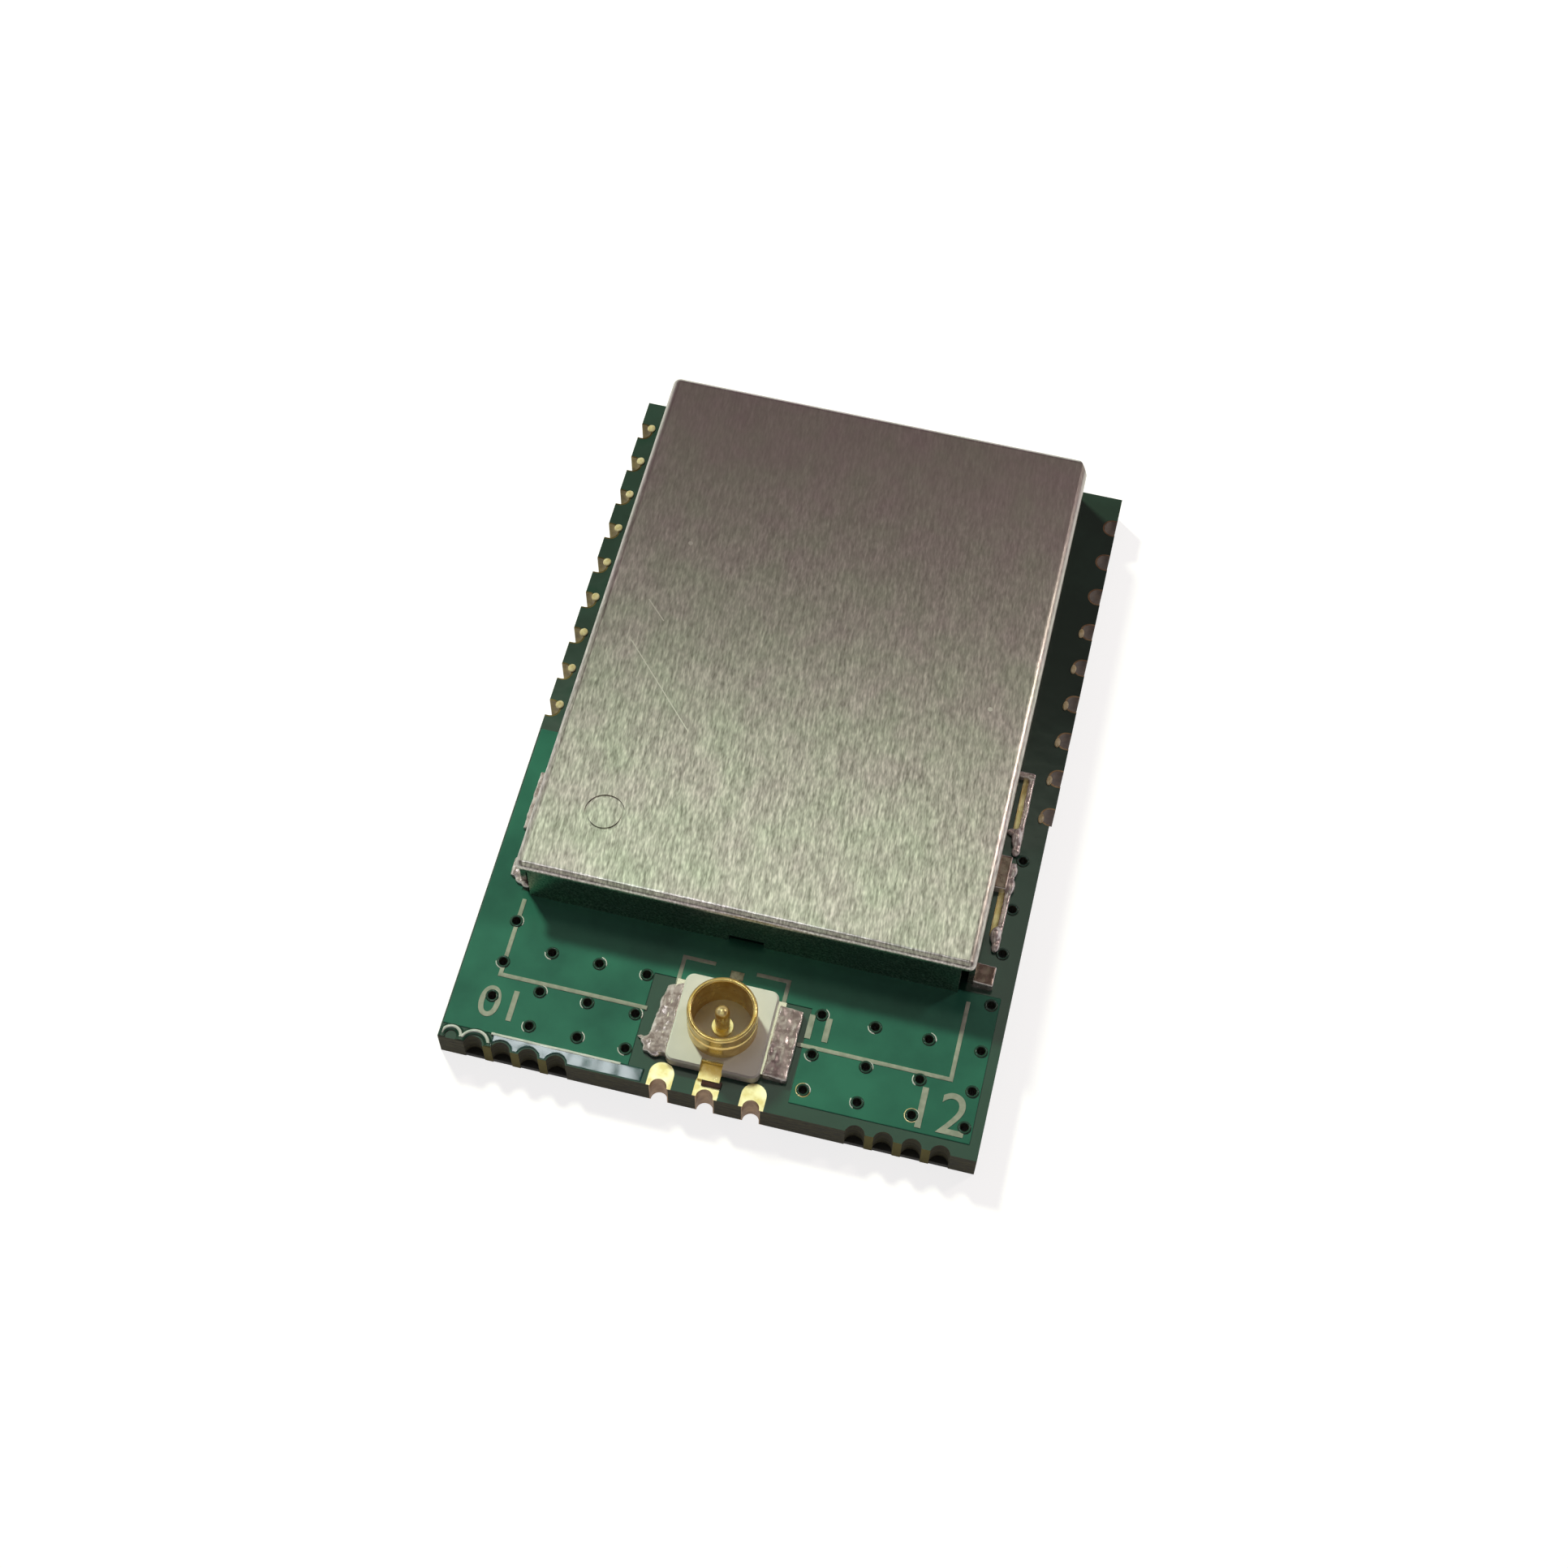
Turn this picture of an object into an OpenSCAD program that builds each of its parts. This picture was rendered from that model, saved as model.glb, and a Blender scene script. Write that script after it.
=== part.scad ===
// Wireless transceiver module: a castellated radio board that carries a folded
// shield can over its circuit and a small coax socket at its free end.
// Millimetres, +Z up, origin at the middle of the underside, coax end towards -Y.

/* [Board] */
// Width of the board
board_w = 14.8; // [14.2:0.1:18]
// Length of the board, from the coax end to the far end
board_l = 21.8; // [21.4:0.1:28]
// Thickness of the board
board_t = 1; // [0.6:0.1:1.6]
// How far the routed stretch of the right edge stands out
routed_step = 0.08; // [0.02:0.01:0.15]

/* [Edge contacts] */
// Contacts along each long edge
side_contacts = 9; // [4:1:10]
// Contacts at the coax end
front_contacts = 3; // [1:2:3]
// Distance from one contact to the next
contact_pitch = 1.27; // [1:0.01:1.5]
// Middle of the first side contact, from the far end
contact_first = 1.1; // [0.6:0.05:1.5]
// Bore of a side half-hole
side_hole_d = 0.5; // [0.4:0.02:0.5]
// Thickness of the plating and of the pads
plating_t = 0.03; // [0.02:0.01:0.03]
// Width of a side pad
side_pad_w = 0.58; // [0.58:0.01:0.7]
// Depth of a side pad, from the edge
side_pad_l = 0.4; // [0.4:0.01:0.6]
// How far the middle of a side half-hole lies inside the edge
side_hole_in = 0.1; // [0.01:0.01:0.1]
// Bore of a half-hole at the coax end
front_hole_d = 0.46; // [0.4:0.02:0.52]
// Width of a pad at the coax end
front_pad_w = 0.68; // [0.6:0.01:0.8]
// Depth of a pad at the coax end, from the edge
front_pad_l = 0.72; // [0.5:0.02:0.9]
// How far the middle of a half-hole at the coax end lies inside the edge
front_hole_in = 0.01; // [0.01:0.01:0.1]

/* [Snap-off edge] */
// Half-holes at each end of the coax edge, left by the snap-off tabs
bites = 4; // [1:1:4]
// Diameter of such a half-hole
bite_d = 0.55; // [0.4:0.05:0.7]
// How deep it cuts into the board
bite_depth = 0.22; // [0.1:0.02:0.3]
// Distance from one to the next
bite_pitch = 0.77; // [0.72:0.01:0.9]
// Middle of the first, from the board's corner
bite_first = 0.98; // [0.6:0.02:1.2]

/* [Vias] */
// Diameter of a stitching via
via_d = 0.28; // [0.2:0.02:0.32]
// Rows of vias beside the socket, from the coax edge
via_rows = [0.84, 1.88, 3.07];
// Columns of vias on each side of the socket
via_columns = 3; // [1:1:3]
// First via column on the left of the middle
via_left_x = 2.4; // [2.35:0.05:2.8]
// Distance between the columns on the left
via_left_pitch = 1.34; // [0.8:0.02:1.4]
// First via column on the right of the middle
via_right_x = 2.5; // [2.35:0.05:2.8]
// Distance between the columns on the right
via_right_pitch = 1.48; // [0.8:0.02:1.5]
// Vias of the left border, from the coax edge
left_border_vias = [1.46, 2.5, 3.76];
// Distance of the left border vias from the edge
left_border_x = 1.1; // [0.6:0.05:1.2]
// Vias of the right border beside the can, from the coax edge
right_border_vias = [4.45, 6.04, 7.43, 8.98];
// Distance of the right border vias from the edge
right_border_x = 0.51; // [0.3:0.01:0.52]

/* [Shield can] */
// Height of the can above the board
can_h = 1.7; // [1.6:0.1:3]
// Gap between the can's left wall and the board's left edge
can_left_gap = 0.88; // [0.84:0.02:1.6]
// Gap between the can's right wall and the right edge below the routed stretch
can_right_gap = 1.12; // [1.1:0.02:1.8]
// Gap between the can's front wall and the coax edge
can_front_gap = 4.62; // [4.2:0.02:6]
// Gap between the can and the board's far end
can_back_gap = 0.02; // [0.02:0.02:0.3]
// Thickness of the sheet
sheet_t = 0.16; // [0.1:0.02:0.18]
// Outer radius of the bends
bend_r = 0.22; // [0.2:0.02:0.32]
// Slit that keeps the walls apart at each corner
corner_relief = 0.36; // [0.34:0.02:0.6]
// Diameter of the round press mark on the top
mark_d = 1.13; // [0.6:0.01:1.6]
// Width of the mark's line
mark_line = 0.1; // [0.05:0.01:0.15]
// Depth of the mark's line
mark_depth = 0.05; // [0.01:0.01:0.06]
// Middle of the mark, from the left wall
mark_x = 1.97; // [1:0.01:4]
// Middle of the mark, from the front wall
mark_y = 2.15; // [1:0.01:4]
// Width of the notch in the front wall that lets the antenna track out
notch_w = 1; // [0.6:0.1:2]
// Height of that notch
notch_h = 0.35; // [0.2:0.05:0.6]

/* [Coax socket] */
// Middle of the socket, from the coax edge
socket_y = 2; // [1.9:0.02:2.6]
// Side of the square white base
base_w = 2.6; // [2.5:0.05:2.9]
// Corner radius of the base
base_r = 0.24; // [0.1:0.02:0.4]
// Height of the base
base_h = 0.36; // [0.34:0.02:0.5]
// Chamfer round the top of the base
base_edge = 0.05; // [0.02:0.01:0.07]
// Outer diameter of the barrel
barrel_d = 1.9; // [1.8:0.02:2.1]
// Wall of the barrel
barrel_wall = 0.14; // [0.1:0.01:0.2]
// Height of the socket above the board
barrel_h = 1.42; // [1.2:0.02:1.6]
// Seat of the barrel above the board, inside the base
barrel_seat = 0.14; // [0.13:0.01:0.18]
// Depth of the snap groove round the barrel
groove_depth = 0.04; // [0.02:0.01:0.06]
// Middle of the groove above the board
groove_z = 0.98; // [0.74:0.02:1]
// Radius of the groove's section
groove_r = 0.14; // [0.1:0.01:0.16]
// Length of a ground leg along the base
leg_l = 2.16; // [1.6:0.02:2.2]
// How far a ground leg stands out of the base
leg_out = 0.22; // [0.15:0.01:0.35]
// Thickness of a ground leg
leg_t = 0.12; // [0.08:0.01:0.16]
// Height of the floor inside the barrel
floor_h = 0.2; // [0.18:0.02:0.32]
// Diameter of the centre pin
pin_d = 0.4; // [0.36:0.02:0.5]
// Height of the centre pin above the board
pin_h = 1.38; // [0.9:0.02:1.5]
// Diameter of the collar at the pin's foot
collar_d = 0.58; // [0.54:0.02:0.8]
// Height of the collar above the floor
collar_h = 0.1; // [0.04:0.02:0.2]
// Width of the signal tail
tail_w = 0.6; // [0.5:0.02:0.62]
// Thickness of the signal tail
tail_t = 0.12; // [0.08:0.01:0.12]
// How far the tail stands out of the base
tail_out = 0.25; // [0.1:0.01:0.4]
// Depth of the window in the base that shows the tail
window_l = 0.26; // [0.1:0.02:0.28]

/* [Solder] */
// Width of the solder on the board, from the can's wall
can_solder_w = 0.44; // [0.3:0.02:0.46]
// Height of the solder on the can's wall
can_solder_h = 0.5; // [0.3:0.02:0.7]
// Width of the solder on the board, from a ground leg
leg_solder_w = 0.46; // [0.3:0.02:0.5]
// Blunt edge of a solder fillet
solder_toe = 0.06; // [0.03:0.01:0.08]
// Plan radius of the fillet's outer corners
solder_corner_r = 0.18; // [0.1:0.02:0.22]
// Joints of the can: name, side, middle from the can's front wall, length
can_joints = [
    ["can_solder_right_rear", 1, 5.72, 2.6],
    ["can_solder_right_middle", 1, 2.72, 2.8],
    ["can_solder_right_corner", 1, 0.68, 0.6],
    ["can_solder_left", -1, 2.84, 1.9],
    ["can_solder_left_corner", -1, 0.72, 0.6],
];

/* [Parts under the can] */
// Side of the square transceiver chip
chip_w = 4; // [3:0.1:5]
// Height of the transceiver chip
chip_h = 0.85; // [0.6:0.05:1.2]
// Diameter of the dimple that marks the chip's first corner
dimple_d = 0.4; // [0.2:0.05:0.6]
// Distance of the dimple from the chip's edges
dimple_in = 0.5; // [0.4:0.05:0.8]
// Depth of the dimple
dimple_depth = 0.05; // [0.02:0.01:0.1]
// Length of the crystal
crystal_l = 3.2; // [2:0.1:3.4]
// Width of the crystal
crystal_w = 2.5; // [1.6:0.1:2.6]
// Height of the crystal
crystal_h = 0.7; // [0.5:0.05:1]
// Distance of the crystal's lid from its edges
lid_in = 0.15; // [0.1:0.05:0.4]
// Thickness of the crystal's lid
lid_t = 0.1; // [0.05:0.01:0.2]
// Length of the balun filter
balun_l = 2; // [1.2:0.1:2.2]
// Width of the balun filter
balun_w = 1.25; // [0.8:0.05:1.4]
// Height of the balun filter
balun_h = 0.7; // [0.4:0.05:0.9]
// Length of the power inductor
inductor_l = 2.5; // [1.6:0.1:2.6]
// Width of the power inductor
inductor_w = 2; // [1.2:0.1:2.2]
// Height of the power inductor
inductor_h = 1.2; // [0.8:0.05:1.3]
// Length of a small chip part
small_part_l = 1; // [0.8:0.05:1.1]
// Width of a small chip part
small_part_w = 0.5; // [0.4:0.02:0.6]
// Height of a small chip part
small_part_h = 0.5; // [0.3:0.02:0.6]
// Length of a chip part's end caps
end_cap_l = 0.25; // [0.1:0.01:0.4]
// Thickness of a chip part's end caps
end_cap_t = 0.02; // [0.01:0.01:0.05]
// Place of the transceiver chip, from the can's middle: x, y, turn
chip_spot = [0.4, 1.2, 0];
// Place of the crystal
crystal_spot = [-3.9, 2.6, 90];
// Place of the balun filter
balun_spot = [0.4, -2.9, 90];
// Place of the power inductor
inductor_spot = [4, 5.2, 90];
// Places of the capacitors
capacitor_spots = [
    [3.6, 2.4, 0],
    [3.6, 1.2, 0],
    [3.6, 0, 0],
    [-1.6, 4.4, 90],
    [0.4, 4.4, 90],
    [-3.9, 5.4, 0],
];
// Places of the radio inductors
radio_inductor_spots = [
    [-0.6, -5, 90],
    [0.4, -6.2, 90],
    [1.5, -5, 90],
];
// Places of the resistors
resistor_spots = [
    [-3.9, -0.6, 0],
    [2, 4.4, 90],
];

/* [Hidden] */
// Overrun of cuts past the faces they open
over = 0.2;
$fn = 64;

left_x = -board_w / 2;
right_x = board_w / 2 + routed_step;
front_y = -board_l / 2;
back_y = board_l / 2;
routed_end_y = back_y - contact_first - (side_contacts - 1) * contact_pitch;
can_left_x = left_x + can_left_gap;
can_right_x = board_w / 2 - can_right_gap;
can_w = can_right_x - can_left_x;
can_x = can_left_x + can_w / 2;
can_l = board_l - can_front_gap - can_back_gap;
can_front_y = front_y + can_front_gap;
can_y = can_front_y + can_l / 2;
leg_h = barrel_seat + leg_t;
barrel_r = barrel_d / 2;
bore_r = barrel_r - barrel_wall;

function side_contact_y(i) = back_y - contact_first - i * contact_pitch;
function front_contact_x(i) = (i - (front_contacts - 1) / 2) * contact_pitch;

via_spots = concat(
    [for (i = [0:via_columns - 1], y = via_rows) [-via_left_x - i * via_left_pitch, front_y + y]],
    [for (i = [0:via_columns - 1], y = via_rows) [via_right_x + i * via_right_pitch, front_y + y]],
    [for (y = via_rows) [board_w / 2 - right_border_x, front_y + y]],
    [for (y = left_border_vias) [left_x + left_border_x, front_y + y]],
    [for (y = right_border_vias) [board_w / 2 - right_border_x, front_y + y]]
);

// Board outline, with the routed stretch of the right edge standing out
module board_outline() {
    polygon([
        [left_x, front_y],
        [board_w / 2, front_y],
        [board_w / 2, routed_end_y],
        [right_x, routed_end_y],
        [right_x, back_y],
        [left_x, back_y],
    ]);
}

// Pad that runs in from the edge (Y = 0) and ends round
module pad_outline(width, depth, past) {
    intersection() {
        union() {
            translate([0, depth - width / 2]) circle(d = width);
            translate([-width / 2, -past]) square([width, depth - width / 2 + past]);
        }
        translate([-width, -past]) square([2 * width, depth + past]);
    }
}

// Hole of this diameter whose middle lies inside the edge, open to the edge and past it
module half_hole_outline(d, inside, past) {
    intersection() {
        union() {
            translate([0, inside]) circle(d = d);
            translate([-d / 2, -past]) square([d, inside + past]);
        }
        translate([-d, -past]) square([2 * d, inside + past + d]);
    }
}

// Room that a contact takes up in the board, running past the board's faces as asked
module contact_room(width, depth, bore, inside, past) {
    for (z = [-past, board_t - plating_t])
        translate([0, 0, z])
            linear_extrude(plating_t + past) pad_outline(width, depth, past);
    translate([0, 0, -past])
        linear_extrude(board_t + 2 * past)
            half_hole_outline(bore + 2 * plating_t, inside, past);
}

// Plated half-hole with a pad on both faces of the board
module contact(width, depth, bore, inside) {
    difference() {
        contact_room(width, depth, bore, inside, 0);
        translate([0, 0, -over])
            linear_extrude(board_t + 2 * over) half_hole_outline(bore, inside, over);
    }
}

module at_left_edge(i) {
    translate([left_x, side_contact_y(i), 0]) rotate(-90) children();
}

module at_right_edge(i) {
    translate([right_x, side_contact_y(i), 0]) rotate(90) children();
}

module at_front_edge(i) {
    translate([front_contact_x(i), front_y, 0]) children();
}

module contact_left(i) {
    color("goldenrod") at_left_edge(i) contact(side_pad_w, side_pad_l, side_hole_d, side_hole_in);
}

// The routed stretch ends in the last contact on the right, which steps back with the edge
module contact_right(i) {
    color("goldenrod") difference() {
        at_right_edge(i) contact(side_pad_w, side_pad_l, side_hole_d, side_hole_in);
        translate([board_w / 2, routed_end_y - side_pad_w, -over])
            cube([routed_step + over, side_pad_w, board_t + 2 * over]);
    }
}

module contact_front(i) {
    color("goldenrod") at_front_edge(i) contact(front_pad_w, front_pad_l, front_hole_d, front_hole_in);
}

module snap_off_bites() {
    for (side = [-1, 1], i = [0:bites - 1]) {
        x = side * (board_w / 2 - bite_first - i * bite_pitch);
        translate([x, front_y - bite_d / 2 + bite_depth, -over])
            cylinder(d = bite_d, h = board_t + 2 * over);
    }
}

module circuit_board() {
    color("seagreen") difference() {
        linear_extrude(board_t) board_outline();
        for (i = [0:side_contacts - 1]) {
            at_left_edge(i) contact_room(side_pad_w, side_pad_l, side_hole_d, side_hole_in, over);
            at_right_edge(i) contact_room(side_pad_w, side_pad_l, side_hole_d, side_hole_in, over);
        }
        for (i = [0:front_contacts - 1])
            at_front_edge(i) contact_room(front_pad_w, front_pad_l, front_hole_d, front_hole_in, over);
        snap_off_bites();
        for (spot = via_spots)
            translate([spot[0], spot[1], -over]) cylinder(d = via_d, h = board_t + 2 * over);
    }
}

// Section of a bend, round the middle of its radius
module bend_section() {
    intersection() {
        difference() {
            circle(r = bend_r);
            circle(r = bend_r - sheet_t);
        }
        square(bend_r);
    }
}

// Folded sheet: the top and its bends are closed, and slits part the walls at the corners
module folded_can() {
    bend_z = can_h - bend_r;
    translate([0, 0, can_h - sheet_t]) linear_extrude(sheet_t)
        square([can_w - 2 * bend_r, can_l - 2 * bend_r], center = true);
    for (side = [0:3]) rotate(90 * side) {
        across = side % 2 == 0 ? can_w : can_l;
        along = side % 2 == 0 ? can_l : can_w;
        translate([across / 2 - bend_r, 0, bend_z]) rotate([90, 0, 0])
            linear_extrude(along - 2 * bend_r, center = true) bend_section();
        translate([across / 2 - bend_r, along / 2 - bend_r, bend_z])
            rotate_extrude(angle = 90) bend_section();
        translate([across / 2 - sheet_t, corner_relief - along / 2, 0])
            cube([sheet_t, along - 2 * corner_relief, bend_z]);
    }
}

module shield_can() {
    color("silver") translate([can_x, can_y, board_t]) difference() {
        folded_can();
        translate([mark_x - can_w / 2, mark_y - can_l / 2, can_h - mark_depth]) difference() {
            cylinder(d = mark_d, h = over);
            translate([0, 0, -over]) cylinder(d = mark_d - 2 * mark_line, h = 3 * over);
        }
        translate([-can_x - notch_w / 2, -can_l / 2 - over, -over])
            cube([notch_w, sheet_t + 2 * over, notch_h + over]);
    }
}

module at_socket() {
    translate([0, front_y + socket_y, board_t]) children();
}

// Barrel section: rounded rim, shallow snap groove outside
module barrel_section() {
    rim_r = barrel_wall / 2;
    difference() {
        union() {
            translate([bore_r, barrel_seat])
                square([barrel_wall, barrel_h - rim_r - barrel_seat]);
            translate([bore_r + rim_r, barrel_h - rim_r]) circle(r = rim_r);
        }
        translate([barrel_r + groove_r - groove_depth, groove_z]) circle(r = groove_r);
    }
}

// Ground leg on the right: leaves the barrel inside the base and turns down to the board
module ground_leg() {
    leg_end = base_w / 2 + leg_out;
    rotate([90, 0, 0]) linear_extrude(leg_l, center = true) polygon([
        [0, barrel_seat],
        [base_w / 2, barrel_seat],
        [base_w / 2, 0],
        [leg_end, 0],
        [leg_end, leg_h],
        [0, leg_h],
    ]);
}

module socket_shell() {
    rotate_extrude() barrel_section();
    difference() {
        for (side = [0, 1]) mirror([side, 0, 0]) ground_leg();
        cylinder(r = barrel_r - barrel_wall / 2, h = leg_h + over);
    }
}

// Centre pin with a domed tip and a collar, and its tail along the board
module socket_pin() {
    rotate_extrude() {
        square([pin_d / 2, pin_h - pin_d / 2]);
        translate([0, pin_h - pin_d / 2]) intersection() {
            circle(d = pin_d);
            square(pin_d);
        }
        square([collar_d / 2, floor_h + collar_h]);
    }
    translate([-tail_w / 2, -base_w / 2 - tail_out, 0])
        cube([tail_w, base_w / 2 + tail_out, tail_t]);
}

// Section of the base's rim, chamfered at the top
module base_rim_section() {
    polygon([
        [0, 0],
        [base_r, 0],
        [base_r, base_h - base_edge],
        [base_r - base_edge, base_h],
        [0, base_h],
    ]);
}

// Square block with rounded corners and a chamfered top edge
module base_block() {
    inner = base_w - 2 * base_r;
    translate([-inner / 2, -inner / 2, 0]) cube([inner, inner, base_h]);
    for (side = [0:3]) rotate(90 * side) translate([inner / 2, 0, 0]) {
        rotate([90, 0, 0]) linear_extrude(inner, center = true) base_rim_section();
        translate([0, inner / 2, 0]) rotate_extrude() base_rim_section();
    }
}

module coax_base() {
    color("ivory") at_socket() difference() {
        base_block();
        socket_shell();
        socket_pin();
        translate([0, 0, floor_h]) cylinder(r = bore_r, h = base_h);
        translate([-tail_w / 2, -base_w / 2 - over, -over])
            cube([tail_w, window_l + over, base_h + 2 * over]);
    }
}

module coax_shell() {
    color("gold") at_socket() socket_shell();
}

module coax_pin() {
    color("gold") at_socket() socket_pin();
}

// Hollow fillet section between a wall (X = 0) and the board (Y = 0)
module fillet_section(reach, rise) {
    chord = [reach - solder_toe, solder_toe - rise];
    span = norm(chord);
    middle = [reach + solder_toe, rise + solder_toe] / 2;
    outward = [-chord[1], chord[0]] / span;
    centre = middle + outward * span / 2;
    difference() {
        square([reach, rise]);
        translate(centre) circle(r = span / sqrt(2));
    }
}

// Solder fillet along +Y, with its outer corners rounded in plan
module solder_fillet(reach, rise, length) {
    r = solder_corner_r;
    intersection() {
        rotate([90, 0, 0])
            linear_extrude(length, center = true) fillet_section(reach, rise);
        linear_extrude(rise) union() {
            translate([0, -length / 2]) square([reach - r, length]);
            translate([0, r - length / 2]) square([reach, length - 2 * r]);
            for (end = [-1, 1])
                translate([reach - r, end * (length / 2 - r)]) circle(r = r);
        }
    }
}

module can_solder(joint) {
    on_left = joint[1] < 0;
    color("lightgray") translate([on_left ? can_left_x : can_right_x, can_front_y + joint[2], board_t])
        mirror([on_left ? 1 : 0, 0, 0])
            solder_fillet(can_solder_w, can_solder_h, joint[3]);
}

module coax_solder(side) {
    color("lightgray") at_socket() mirror([side < 0 ? 1 : 0, 0, 0])
        translate([base_w / 2 + leg_out, 0, 0])
            solder_fillet(leg_solder_w, leg_h, leg_l);
}

module under_can(spot) {
    translate([can_x + spot[0], can_y + spot[1], board_t]) rotate(spot[2]) children();
}

// Moulded chip body with a dimple at its first corner
module transceiver_chip() {
    color("dimgray") under_can(chip_spot) difference() {
        translate([-chip_w / 2, -chip_w / 2, 0]) cube([chip_w, chip_w, chip_h]);
        translate([dimple_in - chip_w / 2, chip_w / 2 - dimple_in, chip_h - dimple_depth])
            cylinder(d = dimple_d, h = over);
    }
}

// Ceramic block with a smaller lid on top
module crystal() {
    color("wheat") under_can(crystal_spot) {
        translate([-crystal_l / 2, -crystal_w / 2, 0])
            cube([crystal_l, crystal_w, crystal_h - lid_t]);
        translate([lid_in - crystal_l / 2, lid_in - crystal_w / 2, 0])
            cube([crystal_l - 2 * lid_in, crystal_w - 2 * lid_in, crystal_h]);
    }
}

// Chip part: a body between two slightly larger end caps
module chip_part(length, width, height) {
    translate([-length / 2, end_cap_t - width / 2, 0])
        cube([length, width - 2 * end_cap_t, height - end_cap_t]);
    for (x = [-length / 2, length / 2 - end_cap_l])
        translate([x, -width / 2, 0]) cube([end_cap_l, width, height]);
}

module small_part() {
    chip_part(small_part_l, small_part_w, small_part_h);
}

module balun_filter() {
    color("dimgray") under_can(balun_spot) chip_part(balun_l, balun_w, balun_h);
}

module power_inductor() {
    color("slategray") under_can(inductor_spot) chip_part(inductor_l, inductor_w, inductor_h);
}

module capacitor(i) {
    color("tan") under_can(capacitor_spots[i]) small_part();
}

module radio_inductor(i) {
    color("lightblue") under_can(radio_inductor_spots[i]) small_part();
}

module resistor(i) {
    color("black") under_can(resistor_spots[i]) small_part();
}

circuit_board();
shield_can();
coax_base();
coax_shell();
coax_pin();
for (i = [0:side_contacts - 1])
    contact_left(i);
for (i = [0:side_contacts - 1])
    contact_right(i);
for (i = [0:front_contacts - 1])
    contact_front(i);
for (joint = can_joints)
    can_solder(joint);
coax_solder(-1);  // coax_solder_left
coax_solder(1);  // coax_solder_right
transceiver_chip();
crystal();
balun_filter();
power_inductor();
for (i = [0:len(capacitor_spots) - 1])
    capacitor(i);
for (i = [0:len(radio_inductor_spots) - 1])
    radio_inductor(i);
for (i = [0:len(resistor_spots) - 1])
    resistor(i);
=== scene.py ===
"""Looks of the wireless transceiver module.

The CAD solids give the board, the can, the contacts and the socket. This script gives them their finishes
and adds what has no solid: the relief of the solder mask, the printed lines and numbers, and the solder.
Pieces are modelled in millimetres and brought to metres at the end.
"""

import math

import bpy
from mathutils import Matrix, Vector


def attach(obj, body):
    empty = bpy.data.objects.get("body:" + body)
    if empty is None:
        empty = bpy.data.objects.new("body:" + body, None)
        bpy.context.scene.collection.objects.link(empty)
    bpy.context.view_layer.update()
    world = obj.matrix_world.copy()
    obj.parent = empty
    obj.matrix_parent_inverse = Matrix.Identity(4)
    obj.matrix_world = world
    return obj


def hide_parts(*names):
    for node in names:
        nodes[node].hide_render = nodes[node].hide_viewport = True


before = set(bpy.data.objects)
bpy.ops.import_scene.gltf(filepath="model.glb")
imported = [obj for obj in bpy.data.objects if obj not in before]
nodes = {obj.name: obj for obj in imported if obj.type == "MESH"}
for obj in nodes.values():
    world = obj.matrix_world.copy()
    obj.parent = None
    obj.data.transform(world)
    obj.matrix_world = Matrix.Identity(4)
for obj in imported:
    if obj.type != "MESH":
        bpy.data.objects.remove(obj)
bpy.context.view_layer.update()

MM = 0.001
# Board and can, in millimetres as in the CAD
BOARD_TOP = 1.0
BOARD_FRONT = -10.9
BOARD_LEFT = -7.4
CAN_FRONT = -6.28
CAN_LEFT = -6.52
CAN_TOP = 2.7
CAN_REAR = 10.88
# Pitch of the edge contacts
PITCH = 1.27
# Break-off holes at the coax end: distances from the middle, and the line that their centres lie on
BITES = (6.42, 5.65, 4.88, 4.11)
BITE_Y = -10.955
# Height of the solder mask over the copper pour
POUR_T = 0.025


# Colours and nodes

def linear(hex_colour):
    """sRGB hex to a linear colour with alpha."""
    values = [int(hex_colour[i:i + 2], 16) / 255 for i in (1, 3, 5)]
    return [v / 12.92 if v <= 0.04045 else ((v + 0.055) / 1.055) ** 2.4 for v in values] + [1.0]


def add(tree, kind, links=(), stops=(), **settings):
    """Add a node with its settings; links are (input, source node or socket), stops are (place, hex)."""
    node = tree.nodes.new(kind)
    for name, value in settings.items():
        if name in node.bl_rna.properties:
            setattr(node, name, value)
        else:
            node.inputs[name.replace("_", " ")].default_value = value
    for target, source in links:
        if isinstance(source, (int, float, tuple)):
            node.inputs[target].default_value = source
        else:
            tree.links.new(source if hasattr(source, "is_output") else source.outputs[0], node.inputs[target])
    for index, (place, colour) in enumerate(stops):
        if index >= len(node.color_ramp.elements):
            node.color_ramp.elements.new(1.0)
        node.color_ramp.elements[index].position = place
        node.color_ramp.elements[index].color = linear(colour)
    return node


def new_material(name):
    """A material with only an output and a Principled shader."""
    material = bpy.data.materials.new(name)
    material.use_nodes = True
    tree = material.node_tree
    tree.nodes.clear()
    shader = tree.nodes.new("ShaderNodeBsdfPrincipled")
    output = tree.nodes.new("ShaderNodeOutputMaterial")
    tree.links.new(shader.outputs[0], output.inputs[0])
    return material, tree, shader


def per_mm(width):
    """Noise scale, in metres, of a pattern whose cells are this many millimetres wide."""
    return 1 / (width * MM)


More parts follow.
